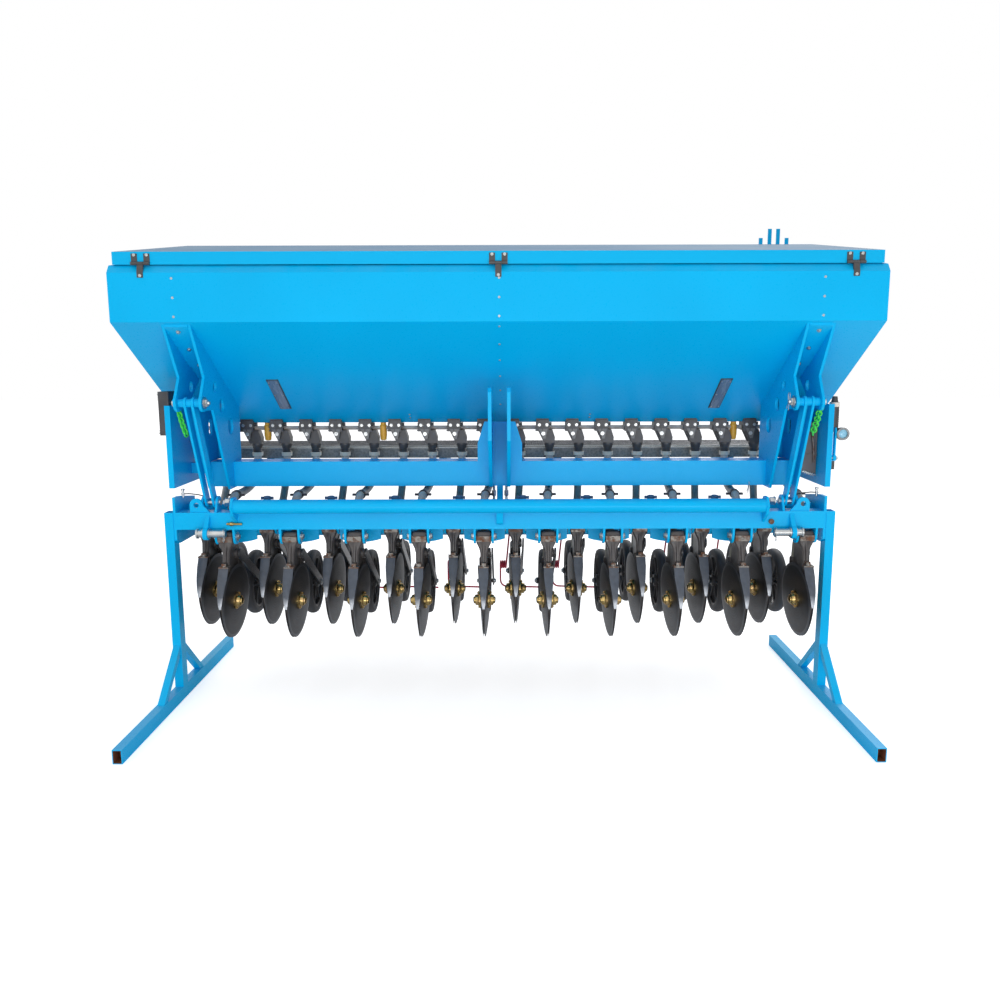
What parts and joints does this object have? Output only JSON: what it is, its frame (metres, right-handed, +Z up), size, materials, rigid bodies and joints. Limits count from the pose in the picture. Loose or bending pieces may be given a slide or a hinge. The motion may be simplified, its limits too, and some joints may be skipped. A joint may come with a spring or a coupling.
{
  "type": "mounted seed drill",
  "caption": "Mounted seed drill with a wide lidded hopper, geared metering units, double disc coulters with press wheels and two parking stands.",
  "frame": {"origin": "on the ground at the middle of the outline", "axes": "+X to the viewer's right seen from the front, across the working width; +Y towards the rear of the machine; +Z up"},
  "size_m": [3.22, 1.71, 2.246],
  "materials": {
    "black_bar": "black paint",
    "black_plastic": "moulded",
    "blue_paint": "gloss powder coat",
    "bright_steel": "bright zinc",
    "cast_arm": "dark cast finish",
    "disc_steel": "blackened steel",
    "galvanised": "galvanised",
    "gold_zinc": "yellow zinc plating",
    "red_spring": "red powder coat",
    "seed_hose": "smooth hose",
    "shield_paint": "worn blue-grey",
    "wheel_rubber": "moulded rubber on a black rim",
    "window_pane": "clear plate over grey"
  },
  "bodies": {
    "frame": {"calibration_tray": "galvanised", "console_brackets": "blue_paint", "console_plates": "blue_paint", "coulter_arms": "cast_arm", "coulter_discs": "disc_steel", "coulter_lugs": "blue_paint", "disc_hubs": "gold_zinc", "disc_shields": "shield_paint", "frame_brackets": "blue_paint", "frame_end_plates": "blue_paint", "harrow_arms": "blue_paint", "harrow_beam": "blue_paint", "harrow_tines": "red_spring", "hopper_floor": "blue_paint", "hopper_front": "blue_paint", "hopper_rear": "blue_paint", "hopper_sides": "blue_paint", "level_windows": "window_pane", "lid_hinge_bases": "black_plastic", "link_arms": "blue_paint", "link_pins": "bright_steel", "lower_beams": "blue_paint", "main_beam": "blue_paint", "mast_gusset": "blue_paint", "mast_plates": "blue_paint", "metering_units": "black_plastic", "pivot_pins": "bright_steel", "press_bars": "black_bar", "seed_tubes": "seed_hose", "side_fittings": "black_plastic", "side_panels": "blue_paint", "stand_braces": "blue_paint", "stand_feet": "blue_paint", "stand_legs": "blue_paint", "torsion_tube": "blue_paint", "walkway": "galvanised", "walkway_brackets": "blue_paint"},
    "lid": {"hopper_lid": "blue_paint", "lid_hinge_leaves": "black_plastic"},
    "metering_shaft": {"metering_shaft": "bright_steel"},
    "press_wheel_01": {"press_wheel_01": "wheel_rubber"},
    "press_wheel_02": {"press_wheel_02": "wheel_rubber"},
    "press_wheel_03": {"press_wheel_03": "wheel_rubber"},
    "press_wheel_04": {"press_wheel_04": "wheel_rubber"},
    "press_wheel_05": {"press_wheel_05": "wheel_rubber"},
    "press_wheel_06": {"press_wheel_06": "wheel_rubber"},
    "press_wheel_07": {"press_wheel_07": "wheel_rubber"},
    "press_wheel_08": {"press_wheel_08": "wheel_rubber"},
    "press_wheel_09": {"press_wheel_09": "wheel_rubber"},
    "press_wheel_10": {"press_wheel_10": "wheel_rubber"},
    "press_wheel_11": {"press_wheel_11": "wheel_rubber"},
    "press_wheel_12": {"press_wheel_12": "wheel_rubber"},
    "press_wheel_13": {"press_wheel_13": "wheel_rubber"},
    "press_wheel_14": {"press_wheel_14": "wheel_rubber"},
    "press_wheel_15": {"press_wheel_15": "wheel_rubber"},
    "press_wheel_16": {"press_wheel_16": "wheel_rubber"},
    "press_wheel_17": {"press_wheel_17": "wheel_rubber"},
    "press_wheel_18": {"press_wheel_18": "wheel_rubber"},
    "press_wheel_19": {"press_wheel_19": "wheel_rubber"},
    "press_wheel_20": {"press_wheel_20": "wheel_rubber"}
  },
  "joints": [
    {"name": "lid_hinge", "type": "hinge", "parent": "frame", "child": "lid", "pos_m": [0, -0.437, 1.9875], "axis": [1, 0, 0], "range_deg": [0, 85]},
    {"name": "metering_shaft_spin", "type": "hinge", "parent": "frame", "child": "metering_shaft", "pos_m": [0, 0.345, 1.25], "axis": [1, 0, 0], "continuous": true},
    {"name": "press_wheel_01_spin", "type": "hinge", "parent": "frame", "child": "press_wheel_01", "pos_m": [-1.425, 0.465, 0.468], "axis": [1, 0, 0], "continuous": true},
    {"name": "press_wheel_02_spin", "type": "hinge", "parent": "frame", "child": "press_wheel_02", "pos_m": [-1.275, 0.3, 0.455], "axis": [1, 0, 0], "continuous": true},
    {"name": "press_wheel_03_spin", "type": "hinge", "parent": "frame", "child": "press_wheel_03", "pos_m": [-1.125, 0.465, 0.468], "axis": [1, 0, 0], "continuous": true},
    {"name": "press_wheel_04_spin", "type": "hinge", "parent": "frame", "child": "press_wheel_04", "pos_m": [-0.975, 0.3, 0.455], "axis": [1, 0, 0], "continuous": true},
    {"name": "press_wheel_05_spin", "type": "hinge", "parent": "frame", "child": "press_wheel_05", "pos_m": [-0.825, 0.465, 0.468], "axis": [1, 0, 0], "continuous": true},
    {"name": "press_wheel_06_spin", "type": "hinge", "parent": "frame", "child": "press_wheel_06", "pos_m": [-0.675, 0.3, 0.455], "axis": [1, 0, 0], "continuous": true},
    {"name": "press_wheel_07_spin", "type": "hinge", "parent": "frame", "child": "press_wheel_07", "pos_m": [-0.525, 0.465, 0.468], "axis": [1, 0, 0], "continuous": true},
    {"name": "press_wheel_08_spin", "type": "hinge", "parent": "frame", "child": "press_wheel_08", "pos_m": [-0.375, 0.3, 0.455], "axis": [1, 0, 0], "continuous": true},
    {"name": "press_wheel_09_spin", "type": "hinge", "parent": "frame", "child": "press_wheel_09", "pos_m": [-0.225, 0.465, 0.468], "axis": [1, 0, 0], "continuous": true},
    {"name": "press_wheel_10_spin", "type": "hinge", "parent": "frame", "child": "press_wheel_10", "pos_m": [-0.075, 0.3, 0.455], "axis": [1, 0, 0], "continuous": true},
    {"name": "press_wheel_11_spin", "type": "hinge", "parent": "frame", "child": "press_wheel_11", "pos_m": [0.075, 0.465, 0.468], "axis": [1, 0, 0], "continuous": true},
    {"name": "press_wheel_12_spin", "type": "hinge", "parent": "frame", "child": "press_wheel_12", "pos_m": [0.225, 0.3, 0.455], "axis": [1, 0, 0], "continuous": true},
    {"name": "press_wheel_13_spin", "type": "hinge", "parent": "frame", "child": "press_wheel_13", "pos_m": [0.375, 0.465, 0.468], "axis": [1, 0, 0], "continuous": true},
    {"name": "press_wheel_14_spin", "type": "hinge", "parent": "frame", "child": "press_wheel_14", "pos_m": [0.525, 0.3, 0.455], "axis": [1, 0, 0], "continuous": true},
    {"name": "press_wheel_15_spin", "type": "hinge", "parent": "frame", "child": "press_wheel_15", "pos_m": [0.675, 0.465, 0.468], "axis": [1, 0, 0], "continuous": true},
    {"name": "press_wheel_16_spin", "type": "hinge", "parent": "frame", "child": "press_wheel_16", "pos_m": [0.825, 0.3, 0.455], "axis": [1, 0, 0], "continuous": true},
    {"name": "press_wheel_17_spin", "type": "hinge", "parent": "frame", "child": "press_wheel_17", "pos_m": [0.975, 0.465, 0.468], "axis": [1, 0, 0], "continuous": true},
    {"name": "press_wheel_18_spin", "type": "hinge", "parent": "frame", "child": "press_wheel_18", "pos_m": [1.125, 0.3, 0.455], "axis": [1, 0, 0], "continuous": true},
    {"name": "press_wheel_19_spin", "type": "hinge", "parent": "frame", "child": "press_wheel_19", "pos_m": [1.275, 0.465, 0.468], "axis": [1, 0, 0], "continuous": true},
    {"name": "press_wheel_20_spin", "type": "hinge", "parent": "frame", "child": "press_wheel_20", "pos_m": [1.425, 0.3, 0.455], "axis": [1, 0, 0], "continuous": true}
  ]
}
